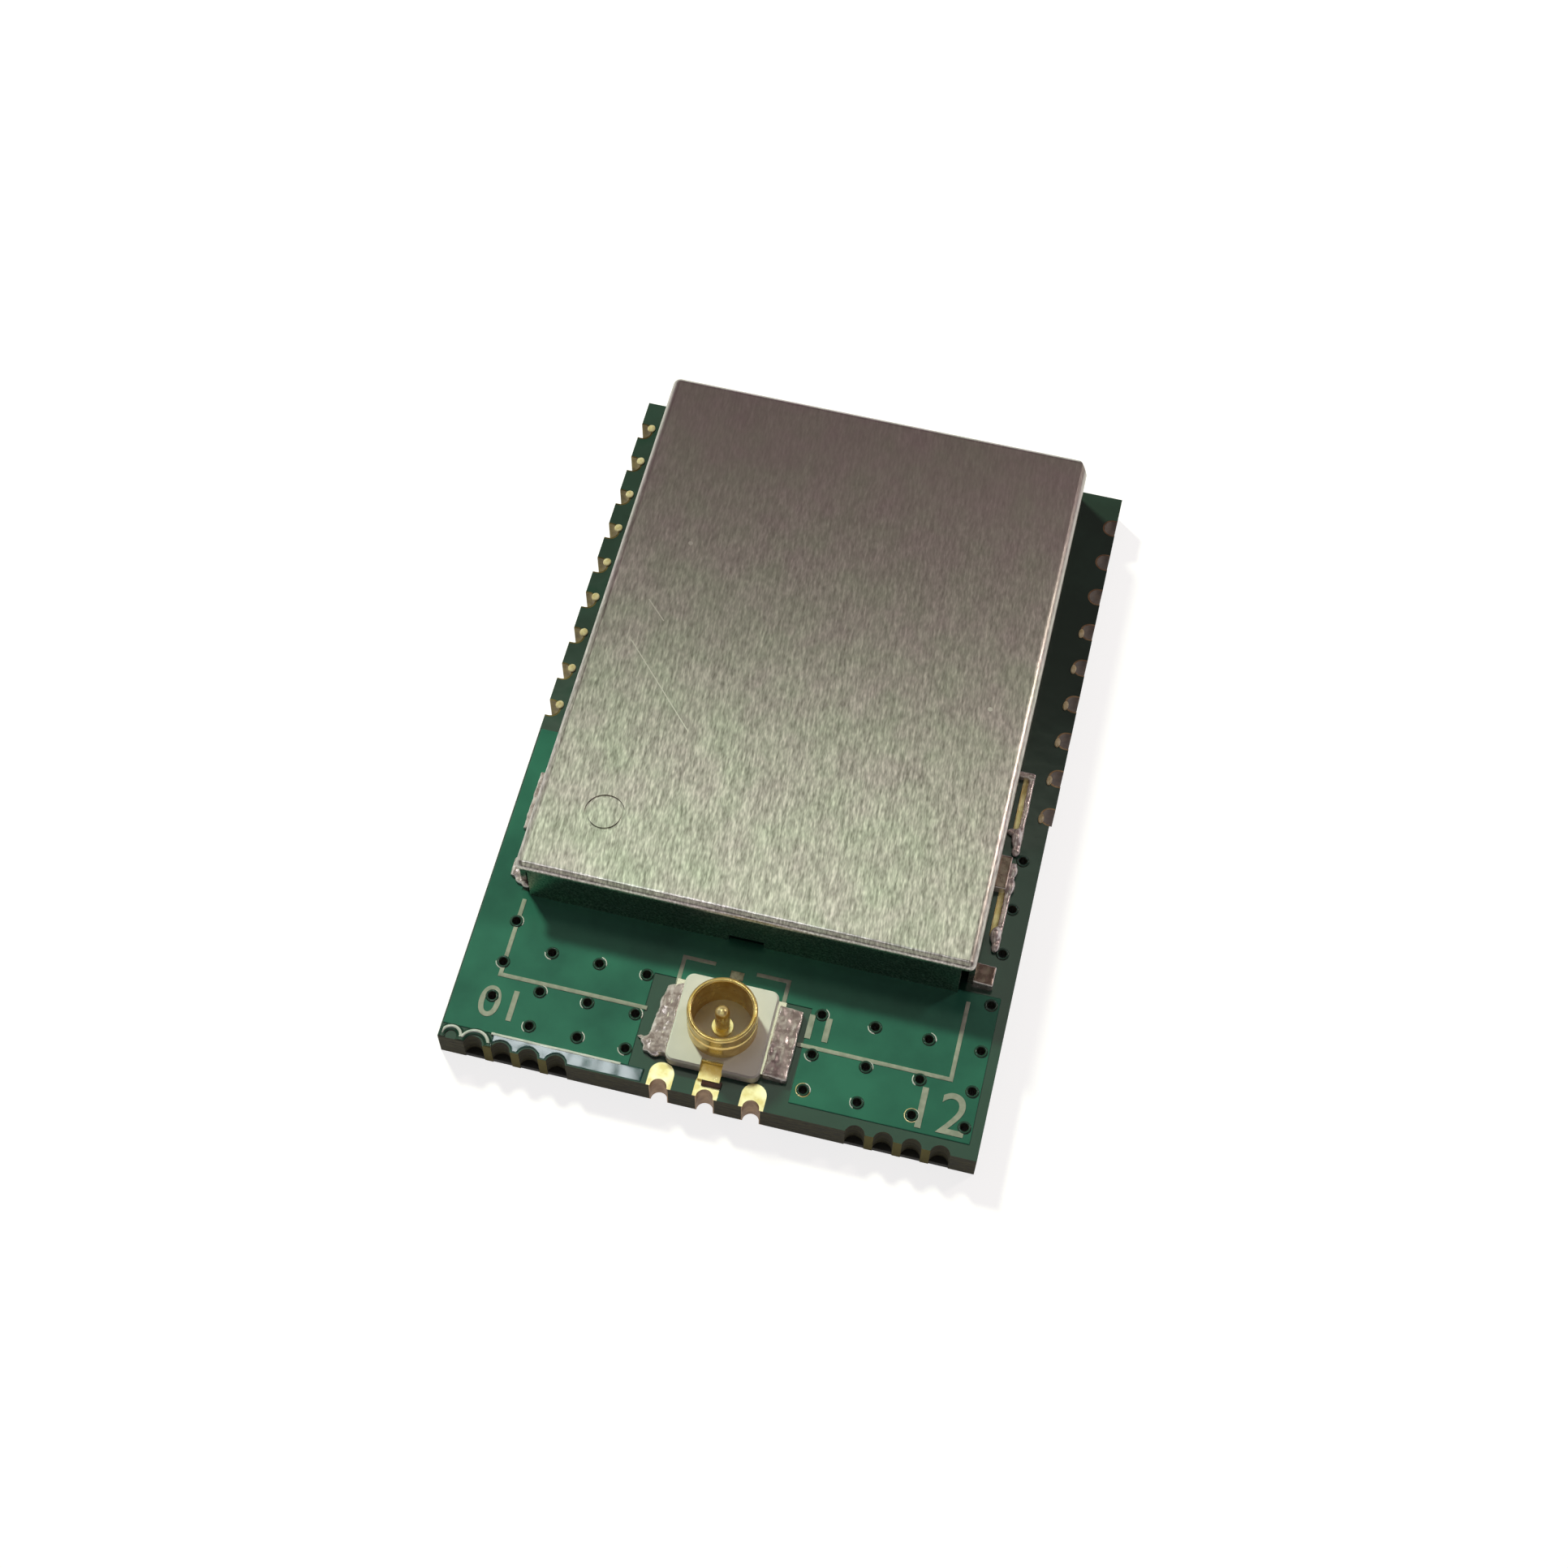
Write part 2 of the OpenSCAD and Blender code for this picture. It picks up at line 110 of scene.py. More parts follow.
def solder_mask():
    """Glossy green solder mask straight on the laminate; the routed edges show the raw glass-epoxy.
    The eye gets a wet, very dark green, and dull olive edges with a fibrous grain."""
    material, tree, shader = new_material("solder_mask_on_laminate")
    place = add(tree, "ShaderNodeTexCoord").outputs["Object"]
    cloud = add(tree, "ShaderNodeTexNoise", [("Vector", place)], Scale=per_mm(2.5), Detail=4.0)
    where = add(tree, "ShaderNodeSeparateXYZ", [("Vector", place)])
    # The mask turns greyer between y = -2.0 and -1.4 mm and stays so towards the far end; towards the coax end it is
    # greener
    coax_end = add(tree, "ShaderNodeMapRange", [("Value", where.outputs["Y"])], From_Min=-1.4 * MM,
                   From_Max=-2.0 * MM, To_Min=-0.4, To_Max=0.0)
    tone = add(tree, "ShaderNodeMath", [(0, cloud.outputs["Fac"]), (1, coax_end)], operation="ADD")
    mask = add(tree, "ShaderNodeValToRGB", [("Fac", tone)],
               stops=[(0.0, "#2d4138"), (0.2, "#344c42"), (0.35, "#1c4436"), (0.7, "#245042")])
    fibre = add(tree, "ShaderNodeMapping", [("Vector", place)], Scale=(1, 1, 6))
    glass = add(tree, "ShaderNodeTexNoise", [("Vector", fibre)], Scale=per_mm(0.3), Detail=3.0)
    laminate = add(tree, "ShaderNodeValToRGB", [("Fac", glass.outputs["Fac"])],
                   stops=[(0.3, "#2b2a20"), (0.7, "#5a573f")])
    # The webs between the break-off holes are torn, so they are paler and yellower
    across = add(tree, "ShaderNodeMath", [(0, where.outputs["X"])], operation="ABSOLUTE")
    by_holes = add(tree, "ShaderNodeMath", [(0, across), (1, 5.26 * MM), (2, 1.3 * MM)], operation="COMPARE")
    at_face = add(tree, "ShaderNodeMath", [(0, where.outputs["Y"]), (1, (BOARD_FRONT + 0.01) * MM)],
                  operation="LESS_THAN")
    torn = add(tree, "ShaderNodeMath", [(0, by_holes), (1, at_face)], operation="MULTIPLY")
    edge = add(tree, "ShaderNodeMix", [("Factor", torn)], data_type="RGBA")
    tree.links.new(laminate.outputs[0], edge.inputs["A"])
    edge.inputs["B"].default_value = linear("#8f8850")
    facing = add(tree, "ShaderNodeSeparateXYZ", [("Vector", add(tree, "ShaderNodeNewGeometry").outputs["Normal"])])
    upright = add(tree, "ShaderNodeMath", [(0, facing.outputs["Z"])], operation="ABSOLUTE")
    flat = add(tree, "ShaderNodeMath", [(0, upright), (1, 0.5)], operation="GREATER_THAN")
    colour = add(tree, "ShaderNodeMix", [("Factor", flat)], data_type="RGBA")
    tree.links.new(edge.outputs["Result"], colour.inputs["A"])
    tree.links.new(mask.outputs[0], colour.inputs["B"])
    rough = add(tree, "ShaderNodeMapRange", [("Value", flat)], To_Min=0.8, To_Max=0.16)
    ripple = add(tree, "ShaderNodeTexNoise", [("Vector", place)], Scale=per_mm(0.6), Detail=2.0)
    bump = add(tree, "ShaderNodeBump", [("Height", ripple.outputs["Fac"])], Strength=0.25, Distance=0.02 * MM)
    tree.links.new(colour.outputs["Result"], shader.inputs["Base Color"])
    shader.inputs["Specular IOR Level"].default_value = 0.38
    tree.links.new(rough.outputs[0], shader.inputs["Roughness"])
    tree.links.new(bump.outputs[0], shader.inputs["Normal"])
    return material


def mask_on_copper():
    """The same mask over the copper pour: the metal under it sends the light back through the green.
    The eye gets a clear, lively green that goes dark where the can stands in its reflection."""
    material, tree, shader = new_material("solder_mask_on_copper")
    place = add(tree, "ShaderNodeTexCoord").outputs["Object"]
    cloud = add(tree, "ShaderNodeTexNoise", [("Vector", place)], Scale=per_mm(1.8), Detail=5.0)
    mask = add(tree, "ShaderNodeValToRGB", [("Fac", cloud.outputs["Fac"])],
               stops=[(0.3, "#2c6656"), (0.7, "#3a816b")])
    ripple = add(tree, "ShaderNodeTexNoise", [("Vector", place)], Scale=per_mm(0.7), Detail=2.0)
    bump = add(tree, "ShaderNodeBump", [("Height", ripple.outputs["Fac"])], Strength=0.15, Distance=0.01 * MM)
    shader.inputs["Metallic"].default_value = 0.05
    shader.inputs["Specular IOR Level"].default_value = 0.12
    shader.inputs["Roughness"].default_value = 0.24
    tree.links.new(mask.outputs[0], shader.inputs["Base Color"])
    tree.links.new(bump.outputs[0], shader.inputs["Normal"])
    return material


# Marks on the can's top: the ends of each scratch, and the middle of each speck
SCRATCHES = (((-5.31, 1.43), (-2.98, -1.09)), ((-5.18, 2.88), (-4.58, 2.27)))
SCRATCH_HALF = 0.016
SPECKS = ((-4.51, 5.05), (5.08, 1.68))
SPECK_R = 0.07


def brushed_sheet():
    """Nickel silver sheet, brushed along its length before it was folded.
    The eye gets short fine streaks along the can, a highlight that spreads across them, and two scratches."""
    material, tree, shader = new_material("brushed_nickel_silver")
    place = add(tree, "ShaderNodeTexCoord").outputs["Object"]
    # Streaks about 0.04 mm wide and 0.2 mm long, turned 5 degrees off the can's length, with longer hairs between
    along = add(tree, "ShaderNodeMapping", [("Vector", place)], vector_type="TEXTURE",
                Rotation=(0, 0, math.radians(5)), Scale=(1, 4.5, 1))
    fine = add(tree, "ShaderNodeTexNoise", [("Vector", along)], Scale=per_mm(0.058), Detail=1.0, Roughness=0.6)
    long = add(tree, "ShaderNodeMapping", [("Vector", place)], vector_type="TEXTURE",
               Rotation=(0, 0, math.radians(4)), Scale=(1, 16, 1))
    hair = add(tree, "ShaderNodeTexNoise", [("Vector", long)], Scale=per_mm(0.1), Detail=2.0)
    streak = add(tree, "ShaderNodeMix", [("Factor", 0.3), ("A", fine.outputs["Fac"]), ("B", hair.outputs["Fac"])])
    # Painted sheen: the streaks stand out more towards the coax end, where the highlight lies on them
    where = add(tree, "ShaderNodeSeparateXYZ", [("Vector", place)])
    sheen_painted_towards_front = add(tree, "ShaderNodeMapRange", [("Value", where.outputs["Y"])], From_Min=9 * MM, From_Max=-2 * MM,
                 To_Min=0.2, To_Max=1.0)
    depth = add(tree, "ShaderNodeMix", [("Factor", sheen_painted_towards_front), ("A", 0.5), ("B", streak.outputs["Result"])])
    grey = add(tree, "ShaderNodeValToRGB", [("Fac", depth.outputs["Result"])],
               stops=[(0.3, "#898680"), (0.5, "#bab7b1"), (0.7, "#e8e5de")])
    cloud = add(tree, "ShaderNodeTexNoise", [("Vector", place)], Scale=per_mm(1.1), Detail=3.0)
    stain = add(tree, "ShaderNodeValToRGB", [("Fac", cloud.outputs["Fac"])],
                stops=[(0.3, "#fbf3f6"), (0.7, "#f6fbf2")])
    tint = add(tree, "ShaderNodeMix", [("Factor", 1.0)], data_type="RGBA", blend_type="MULTIPLY")
    tree.links.new(grey.outputs[0], tint.inputs["A"])
    tree.links.new(stain.outputs[0], tint.inputs["B"])
    marks = None
    for (x0, y0), (x1, y1) in SCRATCHES:
        middle = ((x0 + x1) / 2 * MM, (y0 + y1) / 2 * MM, 0)
        line = add(tree, "ShaderNodeMapping", [("Vector", place)], vector_type="TEXTURE", Location=middle,
                   Rotation=(0, 0, math.atan2(y1 - y0, x1 - x0)))
        sides = add(tree, "ShaderNodeSeparateXYZ", [("Vector", line)])
        reach = math.hypot(x1 - x0, y1 - y0) / 2 * MM
        in_length = add(tree, "ShaderNodeMath", [(0, sides.outputs["X"]), (1, 0.0), (2, reach)], operation="COMPARE")
        in_width = add(tree, "ShaderNodeMath", [(0, sides.outputs["Y"]), (1, 0.0), (2, SCRATCH_HALF * MM)],
                       operation="COMPARE")
        mark = add(tree, "ShaderNodeMath", [(0, in_length), (1, in_width)], operation="MULTIPLY")
        marks = mark if marks is None else add(tree, "ShaderNodeMath", [(0, marks), (1, mark)], operation="MAXIMUM")
    for x, y in SPECKS:
        away = add(tree, "ShaderNodeVectorMath", [(0, place), (1, (x * MM, y * MM, CAN_TOP * MM))],
                   operation="DISTANCE")
        mark = add(tree, "ShaderNodeMath", [(0, away.outputs["Value"]), (1, SPECK_R * MM)], operation="LESS_THAN")
        marks = add(tree, "ShaderNodeMath", [(0, marks), (1, mark)], operation="MAXIMUM")
    scored = add(tree, "ShaderNodeMix", [("Factor", marks)], data_type="RGBA")
    tree.links.new(tint.outputs["Result"], scored.inputs["A"])
    scored.inputs["B"].default_value = linear("#dad7cf")
    rough = add(tree, "ShaderNodeMapRange", [("Value", streak.outputs["Result"])], To_Min=0.28, To_Max=0.35)
    bump = add(tree, "ShaderNodeBump", [("Height", streak.outputs["Result"])], Strength=0.4, Distance=0.006 * MM)
    normal = add(tree, "ShaderNodeNewGeometry").outputs["Normal"]
    across = add(tree, "ShaderNodeVectorMath", [(0, (0, 1, 0)), (1, normal)], operation="CROSS_PRODUCT")
    tangent = add(tree, "ShaderNodeVectorMath", [(0, across), (1, (0.02, 0, 0))], operation="ADD")
    shader.inputs["Metallic"].default_value = 1.0
    shader.inputs["Anisotropic"].default_value = 0.67
    tree.links.new(scored.outputs["Result"], shader.inputs["Base Color"])
    tree.links.new(rough.outputs[0], shader.inputs["Roughness"])
    tree.links.new(bump.outputs[0], shader.inputs["Normal"])
    tree.links.new(tangent.outputs[0], shader.inputs["Tangent"])
    return material


def contact_plating(name, pad_dark, pad_light, bore_dark, bore_light):
    """Thin gold over nickel on an edge contact: a burnished pad and a duller bore, which the router cut in half.
    The eye gets a soft gleam on the pad and a satin hollow; each row's copy has pad and bore tones that paint the
    light or shade on that row."""
    material, tree, shader = new_material(name)
    place = add(tree, "ShaderNodeTexCoord").outputs["Object"]
    cloud = add(tree, "ShaderNodeTexNoise", [("Vector", place)], Scale=per_mm(0.3), Detail=4.0)
    gold = add(tree, "ShaderNodeValToRGB", [("Fac", cloud.outputs["Fac"])],
               stops=[(0.35, pad_dark), (0.65, pad_light)])
    bore = add(tree, "ShaderNodeValToRGB", [("Fac", cloud.outputs["Fac"])],
               stops=[(0.35, bore_dark), (0.65, bore_light)])
    facing = add(tree, "ShaderNodeSeparateXYZ", [("Vector", add(tree, "ShaderNodeNewGeometry").outputs["Normal"])])
    upright = add(tree, "ShaderNodeMath", [(0, facing.outputs["Z"])], operation="ABSOLUTE")
    flat = add(tree, "ShaderNodeMath", [(0, upright), (1, 0.5)], operation="GREATER_THAN")
    colour = add(tree, "ShaderNodeMix", [("Factor", flat)], data_type="RGBA")
    tree.links.new(bore.outputs[0], colour.inputs["A"])
    tree.links.new(gold.outputs[0], colour.inputs["B"])
    rough = add(tree, "ShaderNodeMapRange", [("Value", flat)], To_Min=0.5, To_Max=0.3)
    metal = add(tree, "ShaderNodeMapRange", [("Value", flat)], To_Min=0.3, To_Max=1.0)
    grain = add(tree, "ShaderNodeTexNoise", [("Vector", place)], Scale=per_mm(0.08), Detail=2.0)
    bump = add(tree, "ShaderNodeBump", [("Height", grain.outputs["Fac"])], Strength=0.3, Distance=0.004 * MM)
    tree.links.new(colour.outputs["Result"], shader.inputs["Base Color"])
    tree.links.new(rough.outputs[0], shader.inputs["Roughness"])
    tree.links.new(metal.outputs[0], shader.inputs["Metallic"])
    tree.links.new(bump.outputs[0], shader.inputs["Normal"])
    return material


def plated_metal(name, dark, light, rough_low, rough_high, cell, relief, metal=1.0):
    """Thin plating: two tones of one metal in soft clouds, with a faint relief.
    The eye gets a gleam that is clear in one place and clouded in the next."""
    material, tree, shader = new_material(name)
    place = add(tree, "ShaderNodeTexCoord").outputs["Object"]
    cloud = add(tree, "ShaderNodeTexNoise", [("Vector", place)], Scale=per_mm(cell), Detail=4.0)
    tint = add(tree, "ShaderNodeValToRGB", [("Fac", cloud.outputs["Fac"])], stops=[(0.35, dark), (0.65, light)])
    rough = add(tree, "ShaderNodeMapRange", [("Value", cloud.outputs["Fac"])], To_Min=rough_low, To_Max=rough_high)
    grain = add(tree, "ShaderNodeTexNoise", [("Vector", place)], Scale=per_mm(cell / 4), Detail=2.0)
    bump = add(tree, "ShaderNodeBump", [("Height", grain.outputs["Fac"])], Strength=0.3, Distance=relief * MM)
    shader.inputs["Metallic"].default_value = metal
    tree.links.new(tint.outputs[0], shader.inputs["Base Color"])
    tree.links.new(rough.outputs[0], shader.inputs["Roughness"])
    tree.links.new(bump.outputs[0], shader.inputs["Normal"])
    return material


def tin_solder(name, flat_dark, flat_light):
    """Reflowed tin solder: its flat tops carry a painted dim reflection, and its falls a painted pinkish white
    gleam.
    The eye gets duller planes with a pinkish white gleam along every fall of the lump."""
    material, tree, shader = new_material(name)
    place = add(tree, "ShaderNodeTexCoord").outputs["Object"]
    cloud = add(tree, "ShaderNodeTexNoise", [("Vector", place)], Scale=per_mm(0.25), Detail=4.0)
    flat_painted_reflection = add(tree, "ShaderNodeValToRGB", [("Fac", cloud.outputs["Fac"])],
                  stops=[(0.35, flat_dark), (0.65, flat_light)])
    bright = add(tree, "ShaderNodeValToRGB", [("Fac", cloud.outputs["Fac"])],
                 stops=[(0.35, "#d2c8c6"), (0.65, "#fdf6f4")])
    facing = add(tree, "ShaderNodeSeparateXYZ", [("Vector", add(tree, "ShaderNodeNewGeometry").outputs["Normal"])])
    fall = add(tree, "ShaderNodeMapRange", [("Value", facing.outputs["Z"])], From_Min=0.97, From_Max=0.82)
    colour = add(tree, "ShaderNodeMix", [("Factor", fall)], data_type="RGBA")
    tree.links.new(flat_painted_reflection.outputs[0], colour.inputs["A"])
    tree.links.new(bright.outputs[0], colour.inputs["B"])
    rough = add(tree, "ShaderNodeMapRange", [("Value", cloud.outputs["Fac"])], To_Min=0.2, To_Max=0.36)
    grain = add(tree, "ShaderNodeTexNoise", [("Vector", place)], Scale=per_mm(0.1), Detail=2.0)
    bump = add(tree, "ShaderNodeBump", [("Height", grain.outputs["Fac"])], Strength=0.4, Distance=0.01 * MM)
    shader.inputs["Metallic"].default_value = 0.5
    tree.links.new(colour.outputs["Result"], shader.inputs["Base Color"])
    tree.links.new(rough.outputs[0], shader.inputs["Roughness"])
    tree.links.new(bump.outputs[0], shader.inputs["Normal"])
    return material


def socket_plating():
    """Turned brass with gold plating; the two legs were tinned when they were soldered.
    The eye gets a clean shiny gold barrel and silver lines along the base."""
    material, tree, shader = new_material("socket_gold_plating")
    place = add(tree, "ShaderNodeTexCoord").outputs["Object"]
    cloud = add(tree, "ShaderNodeTexNoise", [("Vector", place)], Scale=per_mm(0.4), Detail=4.0)
    gold = add(tree, "ShaderNodeValToRGB", [("Fac", cloud.outputs["Fac"])],
               stops=[(0.35, "#d2b062"), (0.65, "#efd894")])
    where = add(tree, "ShaderNodeSeparateXYZ", [("Vector", place)])
    across = add(tree, "ShaderNodeMath", [(0, where.outputs["X"])], operation="ABSOLUTE")
    on_leg = add(tree, "ShaderNodeMath", [(0, across), (1, 1.2 * MM)], operation="GREATER_THAN")
    tinned = add(tree, "ShaderNodeMix", [("Factor", on_leg)], data_type="RGBA")
    tree.links.new(gold.outputs[0], tinned.inputs["A"])
    tinned.inputs["B"].default_value = linear("#cfc7b8")
    rough = add(tree, "ShaderNodeMapRange", [("Value", cloud.outputs["Fac"])], To_Min=0.2, To_Max=0.32)
    turning = add(tree, "ShaderNodeMapping", [("Vector", place)], Scale=(1, 1, 12))
    ring = add(tree, "ShaderNodeTexNoise", [("Vector", turning)], Scale=per_mm(0.5), Detail=2.0)
    bump = add(tree, "ShaderNodeBump", [("Height", ring.outputs["Fac"])], Strength=0.2, Distance=0.003 * MM)
    shader.inputs["Metallic"].default_value = 0.8
    tree.links.new(tinned.outputs["Result"], shader.inputs["Base Color"])
    tree.links.new(rough.outputs[0], shader.inputs["Roughness"])
    tree.links.new(bump.outputs[0], shader.inputs["Normal"])
    return material


def dull_body(name, dark, light, rough, cell, relief=0.004):
    """Plastic, ceramic, ink, or a pale or dark piece that paints a glint or a shadow: two close tones and a fine
    grain.
    The eye gets an even body colour with a soft or a wet sheen, by its roughness."""
    material, tree, shader = new_material(name)
    place = add(tree, "ShaderNodeTexCoord").outputs["Object"]
    cloud = add(tree, "ShaderNodeTexNoise", [("Vector", place)], Scale=per_mm(cell), Detail=4.0)
    tint = add(tree, "ShaderNodeValToRGB", [("Fac", cloud.outputs["Fac"])], stops=[(0.3, dark), (0.7, light)])
    grain = add(tree, "ShaderNodeTexNoise", [("Vector", place)], Scale=per_mm(0.06), Detail=2.0)
    bump = add(tree, "ShaderNodeBump", [("Height", grain.outputs["Fac"])], Strength=0.2, Distance=relief * MM)
    shader.inputs["Roughness"].default_value = rough
    tree.links.new(tint.outputs[0], shader.inputs["Base Color"])
    tree.links.new(bump.outputs[0], shader.inputs["Normal"])
    return material


mask_finish = solder_mask()
copper_mask_finish = mask_on_copper()
sheet_finish = brushed_sheet()
# Lit and shaded copies of one plating, painted for the light on each row: the coax end's contacts painted bright,
# the left row painted olive with shade, and the right row painted reddish with the can's shadow
front_gold_painted_light = contact_plating("contact_gold_painted_light", "#ddcb8c", "#fbf2c8", "#a07c58", "#c9a67c")
left_gold_painted_shade = contact_plating("contact_gold_painted_shade", "#5f5331", "#857548", "#75663a", "#a3915a")
right_gold_painted_shadow = contact_plating("contact_gold_painted_can_shadow", "#6e5543", "#8c705a", "#4d3b2f", "#6a5442")
# Painted glints beside the half-holes of the long rows: pale satin gold beads that stand in for the light they catch
glint_gold_painted = dull_body("gold_beads_painted_glint", "#cbb981", "#f3e8bd", 0.3, 0.1)
socket_gold = socket_plating()
# The pin's plating is thicker over nickel and satin, so it is paler and catches light from all sides
pin_gold = plated_metal("pin_gold_plating", "#e8cd7a", "#fff0b8", 0.2, 0.32, 0.3, 0.002, metal=0.7)
# Gold plating seen on the bare pads beside the can: thin, a little tarnished
pad_gold = plated_metal("pad_gold_plating", "#c4b078", "#efe2b0", 0.3, 0.45, 0.3, 0.003)
# The pad behind the socket lies in the shadow in front of the can, so its gold is painted dim with that shade
pad_gold_painted_shade = plated_metal("gold_dimmed_by_painted_shade", "#6b6350", "#96907a", 0.4, 0.6, 0.15, 0.006)
solder_finish = tin_solder("reflowed_tin_solder", "#a89a97", "#d3c7c4")
# At the can the solder's flat tops carry a browner, darker painted reflection
solder_painted_brown = tin_solder("solder_with_painted_brown_flats", "#6d5c50", "#97857a")
# Flux residue with the painted shadow of the pin's raised tail: dark red-brown and dull
flux_and_shadow_finish = dull_body("flux_and_painted_shadow", "#34170c", "#4f2616", 0.55, 0.1)
# Liquid-crystal polymer: satin off-white with a green-grey cast
base_finish = dull_body("off_white_polymer", "#ebefe6", "#f5f8f0", 0.4, 0.8)
# Screen-printed ink: flat, pale green-white
ink_finish = dull_body("printed_ink", "#98a493", "#b7c0b0", 0.6, 0.2)
# Painted glints: pale, wet white beads and crescents that stand in for the light on the mask's rims and edges
glint_finish_painted = dull_body("painted_glint_white", "#c3d3cb", "#f6faf7", 0.12, 0.35)
# Mask that ran over bare laminate: deep blue-green, wet
wet_finish = dull_body("wet_solder_mask", "#1c4642", "#285a56", 0.14, 0.6, relief=0.0005)
# Painted shadow in the break-off holes: dark, matt
bite_shadow_finish = dull_body("painted_shadow_in_bites", "#16150f", "#26241a", 0.8, 0.15)
# The parts under the can: moulded or fired bodies, satin, each in its usual colour
chip_finish = dull_body("black_moulding", "#17181a", "#222326", 0.55, 0.5)
crystal_finish = dull_body("alumina_package", "#b3a78c", "#c9bfa6", 0.45, 0.5)
filter_finish = dull_body("dark_ceramic", "#33353a", "#44474d", 0.45, 0.4)
ferrite_finish = dull_body("grey_ferrite", "#3b3c3e", "#4d4f52", 0.6, 0.4)
capacitor_finish = dull_body("tan_ceramic", "#8d6f4b", "#a3845d", 0.4, 0.3)
inductor_finish = dull_body("pale_blue_ceramic", "#8b9fac", "#a3b6c2", 0.4, 0.3)
resistor_finish = dull_body("black_resistor_coat", "#131314", "#1f1f21", 0.35, 0.3)

# Finish of each CAD node, by the start of its name
FINISHES = {
    "circuit_board": mask_finish, "shield_can": sheet_finish, "coax_base": base_finish, "coax_shell": socket_gold,
    "coax_pin": pin_gold, "contact_front_": front_gold_painted_light, "contact_left_": left_gold_painted_shade, "contact_right_": right_gold_painted_shadow,
    "can_solder_": solder_finish, "coax_solder_": solder_finish, "transceiver_chip": chip_finish,
    "crystal": crystal_finish, "balun_filter": filter_finish, "power_inductor": ferrite_finish,
    "capacitor_": capacitor_finish, "radio_inductor_": inductor_finish, "resistor_": resistor_finish,
}
for name in nodes:
    for start, finish in FINISHES.items():
        if name.startswith(start):
            nodes[name].data.materials.clear()
            nodes[name].data.materials.append(finish)


# Modelling, in millimetres

def deselect():
    """Back to object mode, with nothing selected."""
    if bpy.context.mode != "OBJECT":
        bpy.ops.object.mode_set(mode="OBJECT")
    bpy.ops.object.select_all(action="DESELECT")


def only(piece):
    """Select one piece and make it the active one."""
    deselect()
    piece.select_set(True)
    bpy.context.view_layer.objects.active = piece


def block(low, high):
    """A cube primitive from its low corner to its high corner."""
    deselect()
    middle = [(a + b) / 2 for a, b in zip(low, high)]
    size = [b - a for a, b in zip(low, high)]
    bpy.ops.mesh.primitive_cube_add(size=1, location=middle, scale=size)
    bpy.ops.object.transform_apply(location=True, rotation=True, scale=True)
    return bpy.context.object


def drum(centre, radius, low, high):
    """An upright cylinder primitive."""
    deselect()
    bpy.ops.mesh.primitive_cylinder_add(vertices=24, radius=radius, depth=high - low,
                                        location=(centre[0], centre[1], (low + high) / 2))
    bpy.ops.object.transform_apply(location=True, rotation=True, scale=True)
    return bpy.context.object


def hole(spot, radius):
    """A cutter for a round hole right through the board and what lies on it."""
    return drum(spot, radius, 0, 2)


def blob(centre, radii):
    """An icosphere drawn out to three radii."""
    deselect()
    bpy.ops.mesh.primitive_ico_sphere_add(subdivisions=3, radius=1, location=centre, scale=radii)
    bpy.ops.object.transform_apply(location=True, rotation=True, scale=True)
    return bpy.context.object


def hoop(centre, radius, wire, squash, rounds, sides):
    """A torus primitive about an upright axis, pressed flatter."""
    deselect()
    bpy.ops.mesh.primitive_torus_add(major_radius=radius, minor_radius=wire, major_segments=rounds,
                                     minor_segments=sides, location=centre)
    bpy.ops.transform.resize(value=(1, 1, squash))
    bpy.ops.object.transform_apply(location=True, rotation=True, scale=True)
    return bpy.context.object


def joined(pieces):
    """Make one object of several."""
    only(pieces[0])
    for piece in pieces:
        piece.select_set(True)
    if len(pieces) > 1:
        bpy.ops.object.join()
    return bpy.context.object


def copies(pattern, places):
    """One object of copies of a pattern, each with its own mesh, at ((x, y, z), turn); the pattern goes."""
    made = []
    for spot, turn in places:
        only(pattern)
        bpy.ops.object.duplicate()
        bpy.context.object.location = spot
        bpy.context.object.rotation_euler = (0, 0, turn)
        bpy.ops.object.transform_apply(location=True, rotation=True, scale=True)
        made.append(bpy.context.object)
    bpy.data.objects.remove(pattern)
    return joined(made)


def modify(piece, kind, **settings):
    """Add a modifier and apply it."""
    only(piece)
    modifier = piece.modifiers.new(kind.lower(), kind)
    for name, value in settings.items():
        setattr(modifier, name, value)
    bpy.ops.object.modifier_apply(modifier=modifier.name)


def cut(piece, cutters):
    """Take the cutters out of a piece."""
    tool = joined(cutters)
    modify(piece, "BOOLEAN", operation="DIFFERENCE", solver="EXACT", object=tool, use_self=True)
    bpy.data.objects.remove(tool)


def trim(piece, point, normal):
    """Cut away what lies on the normal's side of a plane, and close the cut."""
    only(piece)
    bpy.ops.object.mode_set(mode="EDIT")
    bpy.ops.mesh.select_all(action="SELECT")
    bpy.ops.mesh.bisect(plane_co=point, plane_no=normal, use_fill=True, clear_outer=True)
    bpy.ops.object.mode_set(mode="OBJECT")


def move_corners(piece, chosen, shift):
    """Move the vertices that the chosen test picks, by their place."""
    only(piece)
    for vertex in piece.data.vertices:
        vertex.select = chosen(vertex.co)
    for group in (piece.data.edges, piece.data.polygons):
        for element in group:
            element.select = False
    bpy.ops.object.mode_set(mode="EDIT")
    bpy.ops.mesh.select_mode(type="VERT")
    bpy.ops.transform.translate(value=shift)
    bpy.ops.object.mode_set(mode="OBJECT")


def rounded(piece, width, segments=3, from_angle=40):
    """Round a piece's edges that are sharper than an angle in degrees."""
    modify(piece, "BEVEL", width=width, segments=segments, limit_method="ANGLE",
           angle_limit=math.radians(from_angle))
    return piece


